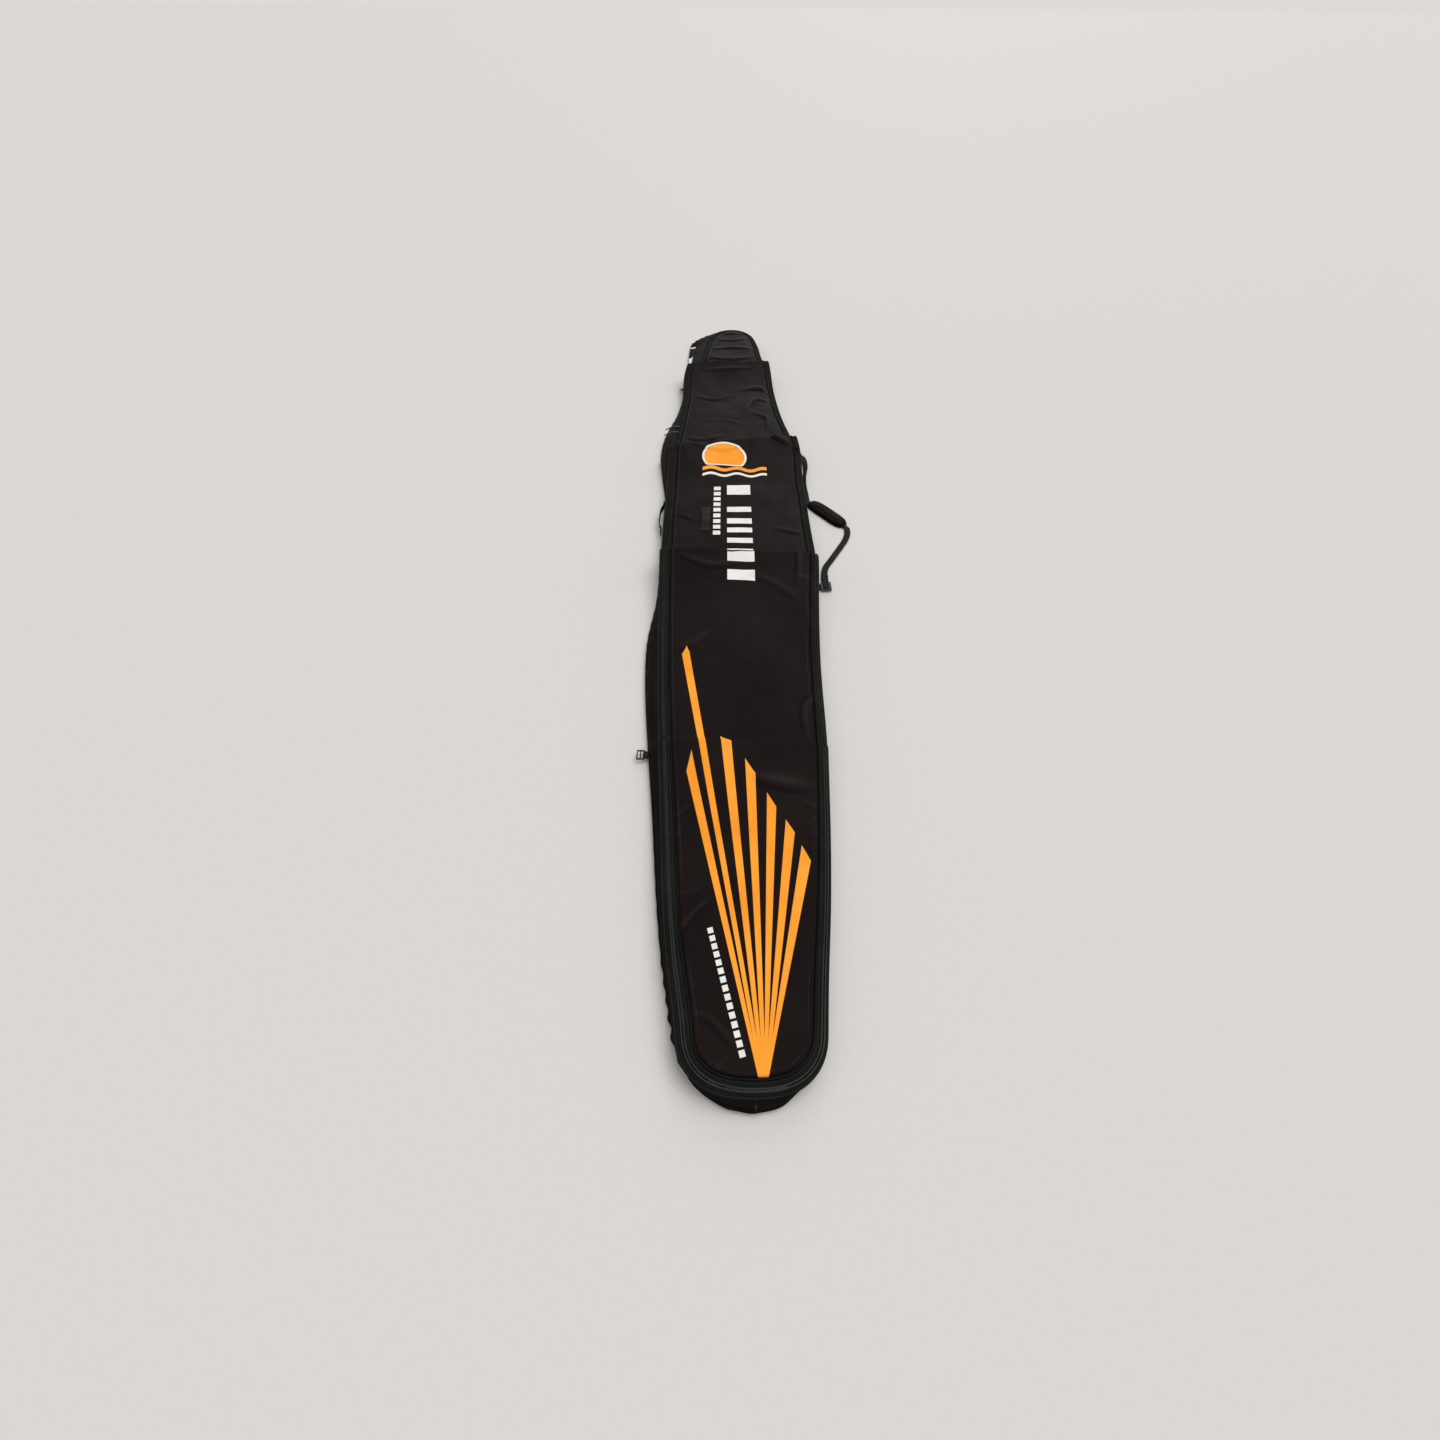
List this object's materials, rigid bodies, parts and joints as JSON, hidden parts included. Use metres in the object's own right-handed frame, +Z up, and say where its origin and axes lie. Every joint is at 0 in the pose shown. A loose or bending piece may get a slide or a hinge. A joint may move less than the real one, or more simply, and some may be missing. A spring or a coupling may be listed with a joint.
{
  "type": "padded board travel bag",
  "caption": "Long padded bag for a race paddle board, lying closed and empty, with a zipped lid, grab handles, lashing points and a shoulder strap.",
  "frame": {"origin": "on the underside of the base panel, half way along the bag, on the base's centre line at its widest", "axes": "+Z up out of the lid; +Y along the bag from the blunt tail end to the narrower nose end; +X towards the shoulder strap's side"},
  "size_m": [0.8434, 4.4098, 0.1099],
  "materials": {
    "nylon": "woven nylon, slight satin sheen",
    "lining": "smooth silver-grey coated lining",
    "foam": "closed-cell foam sheet between the fabrics",
    "tape": "woven tape and bound edges",
    "coil": "moulded nylon zip coil",
    "webbing": "ribbed polyester webbing",
    "plastic": "moulded acetal, fine texture",
    "slider_metal": "black painted die casting"
  },
  "bodies": {
    "base": {"base_shell": "nylon", "base_foam": "foam", "base_lining": "lining", "base_binding": "tape", "gusset_left": "nylon", "gusset_nose": "nylon", "gusset_right": "nylon", "gusset_tail": "nylon", "zip_tape_gusset": "tape", "zip_coil_gusset": "coil", "seam_gusset": "tape", "side_handle_tab_tail": "webbing", "side_handle_tab_nose": "webbing", "tail_lash_web": "webbing", "nose_lash_web": "webbing", "strap_anchor_nose": "webbing", "strap_anchor_tail": "webbing"},
    "lid": {"lid_shell": "nylon", "lid_foam": "foam", "lid_lining": "lining", "lid_piping": "tape", "zip_tape_lid": "tape", "zip_coil_lid": "coil", "seam_lid": "tape", "zip_stop_nose": "tape", "zip_stop_tail": "tape", "lid_handle_tab_tail": "webbing", "lid_handle_tab_nose": "webbing"},
    "slider_tail": {"slider_tail": "slider_metal"},
    "slider_nose": {"slider_nose": "slider_metal"},
    "pull_tail": {"pull_tab_tail": "slider_metal", "pull_grip_tail": "plastic"},
    "pull_nose": {"pull_tab_nose": "slider_metal", "pull_grip_nose": "plastic"},
    "lid_handle": {"lid_handle_grip": "webbing"},
    "side_handle": {"side_handle_grip": "webbing"},
    "tail_lash": {"tail_lash_frame": "plastic"},
    "nose_lash": {"nose_lash_frame": "plastic"},
    "strap": {"strap_web": "webbing", "strap_adjuster": "plastic", "strap_free_end": "webbing"},
    "strap_pad": {"strap_pad_backing": "nylon", "strap_pad_cushion": "nylon"}
  },
  "joints": [
    {"name": "lid_open", "type": "hinge", "parent": "base", "child": "lid", "pos_m": [0.318, 0, 0.1], "axis": [0, 1, 0], "range_deg": [0, 110]},
    {"name": "slider_tail_run", "type": "slide", "parent": "base", "child": "slider_tail", "axis": [-0.0517, -0.9987, 0], "range_m": [0, 0.13]},
    {"name": "slider_nose_run", "type": "slide", "parent": "base", "child": "slider_nose", "axis": [0.0517, 0.9987, 0], "range_m": [0, 0.3]},
    {"name": "pull_tail_swing", "type": "hinge", "parent": "slider_tail", "child": "pull_tail", "pos_m": [-0.26469, 0.70015, 0.054], "axis": [0.0517, 0.9987, 0], "range_deg": [0, 90]},
    {"name": "pull_nose_swing", "type": "hinge", "parent": "slider_nose", "child": "pull_nose", "pos_m": [-0.26148, 0.76216, 0.054], "axis": [0.0517, 0.9987, 0], "range_deg": [0, 90]},
    {"name": "lid_handle_lift", "type": "slide", "parent": "lid", "child": "lid_handle", "axis": [0, 0, 1], "range_m": [0, 0.025]},
    {"name": "side_handle_pull", "type": "slide", "parent": "base", "child": "side_handle", "axis": [-1, 0, 0], "range_m": [0, 0.025]},
    {"name": "tail_lash_swing", "type": "hinge", "parent": "base", "child": "tail_lash", "pos_m": [-0.2638, -1.307, 0.015], "axis": [0, 1, 0], "range_deg": [0, 80]},
    {"name": "nose_lash_swing", "type": "hinge", "parent": "base", "child": "nose_lash", "pos_m": [-0.2733, 1.32, 0.015], "axis": [0, 1, 0], "range_deg": [0, 80]},
    {"name": "strap_lift", "type": "hinge", "parent": "base", "child": "strap", "pos_m": [0.3235, 0, 0.0042], "axis": [0, -1, 0], "range_deg": [0, 50]},
    {"name": "pad_slide", "type": "slide", "parent": "strap", "child": "strap_pad", "axis": [0.5751, -0.8181, 0], "range_m": [-0.014, 0.014]}
  ]
}
